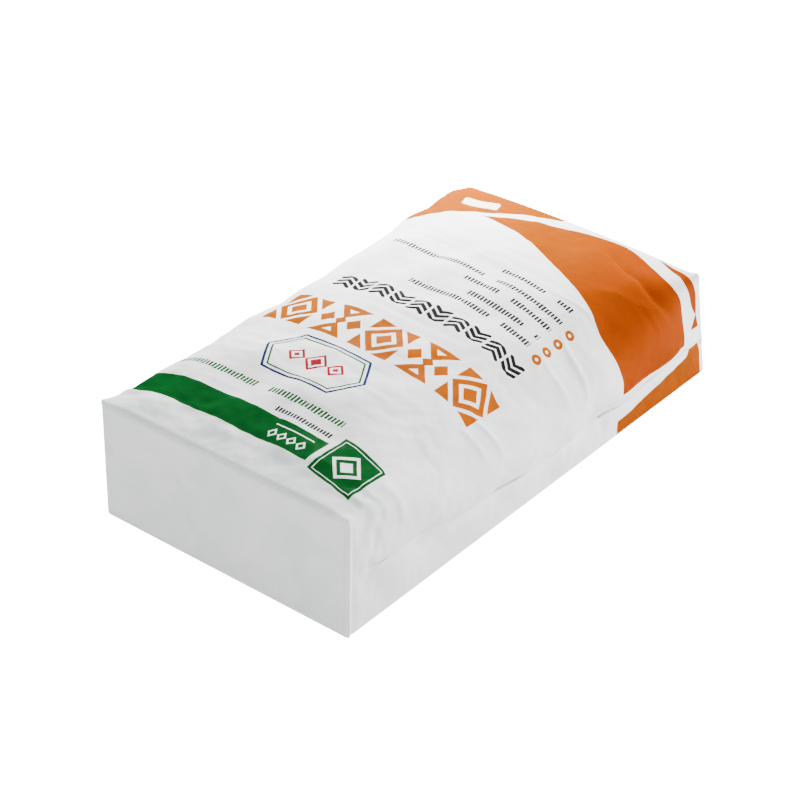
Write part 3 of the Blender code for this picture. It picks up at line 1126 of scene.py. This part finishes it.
def patch_film_material(name):
    film = Film(name, PATCH_FILM_WHITE)
    _, y, z = film.split(film.object_vector())
    film.lay(PATCH_CLOUDS[0], film.noise(14.0, 3.0, 0.55, 21.0).ramp(0.35, 0.68))
    film.lay(PATCH_CLOUDS[1], film.noise(22.0, 2.0, 0.5, 22.0).ramp(0.46, 0.70))
    woven = weave(z, y)
    grain = film.noise(170.0, 2.0, 0.6, 23.0)
    film.shade(woven * 0.010 + (grain - 0.5) * 0.025 + 1.0)
    roughness = film.noise(20.0, 3.0, 0.6, 25.0).ramp(0.3, 0.7, 0.38, 0.5)
    crinkle = film.noise(45.0, 3.0, 0.55, 27.0) * 0.0005
    return film.finish(roughness, woven * 0.00002 + crinkle, 0.12)


def sleeve_film_material():
    film = Film("sleeve_film", SLEEVE_FILM_WHITE)
    _, y, z = film.split(film.object_vector())
    film.lay(SLEEVE_CLOUD, film.noise(30.0, 3.0, 0.6, 33.0).ramp(0.4, 0.7))
    woven = weave(z, y, SLEEVE_TAPE)
    film.shade(woven * 0.012 + 1.0)
    roughness = film.noise(35.0, 2.0, 0.6, 35.0).ramp(0.3, 0.7, 0.26, 0.36)
    return film.finish(roughness, woven * 0.00002 + film.noise(70.0, 3.0, 0.6, 37.0) * 0.0003, 0.4)


# Camera, lights and floor

def look_along(obj, place, direction):
    """Puts a camera or a light here, facing this way."""
    obj.location = place
    obj.rotation_mode = "QUATERNION"
    obj.rotation_quaternion = direction.to_track_quat("-Z", "Y")


def add_camera():
    azimuth = math.radians(CAMERA_AZIMUTH)
    elevation = math.radians(CAMERA_ELEVATION)
    back = Vector((
        math.sin(azimuth) * math.cos(elevation),
        -math.cos(azimuth) * math.cos(elevation),
        math.sin(elevation),
    ))
    data = bpy.data.cameras.new("camera")
    data.sensor_width = SENSOR_WIDTH
    data.lens = CAMERA_LENS
    camera = add_object("camera", data)
    look_along(camera, Vector(CAMERA_TARGET) + back * CAMERA_DISTANCE, -back)
    bpy.context.scene.camera = camera


def add_softbox(name, place, aim, size, power, mirrored):
    data = bpy.data.lights.new(name, "AREA")
    data.shape = "DISK"
    data.size = size
    data.energy = power
    light = add_object(name, data)
    look_along(light, place, Vector(aim) - Vector(place))
    light.visible_camera = False
    light.visible_glossy = mirrored


def add_floor_plane(name, z, colour, glow):
    mesh = bpy.data.meshes.new(name)
    corners = ((-1, -1), (1, -1), (1, 1), (-1, 1))
    mesh.from_pydata([(x * FLOOR_HALF, y * FLOOR_HALF, z) for x, y in corners], [], [(0, 1, 2, 3)])
    floor = add_object(name, mesh)
    material = bpy.data.materials.new(name + "_paint")
    material.use_nodes = True
    fill(material.node_tree.nodes["Principled BSDF"], {
        "Base Color": (colour, colour, colour, 1.0), "Roughness": 0.7,
        "Emission Color": WHITE_LIGHT, "Emission Strength": glow,
    })
    mesh.materials.append(material)
    return floor


def add_stage():
    """A bright sweep that the camera sees, and under it the floor that lights the bag."""
    sweep = add_floor_plane("sweep", -0.0002, 0.9, FLOOR_GLOW)
    sweep.visible_diffuse = False
    sweep.visible_glossy = False
    sweep.visible_shadow = False
    bounce = add_floor_plane("bounce", -0.0004, 0.85, 0.0)
    bounce.visible_camera = False
    bounce.visible_glossy = False
    world = bpy.data.worlds.new("studio")
    world.use_nodes = True
    fill(world.node_tree.nodes["Background"], {"Color": WHITE_LIGHT, "Strength": WORLD_STRENGTH})
    world.cycles_visibility.glossy = False
    bpy.context.scene.world = world
    for softbox in SOFTBOXES:
        add_softbox(*softbox)


def main():
    add_camera()
    add_stage()
    bag = add_bag()
    add_patch("bottom_patch_film", -1, "bottom_cover_patch")
    add_sleeve()
    add_patch("top_patch_film", 1, "top_cover_patch")


main()
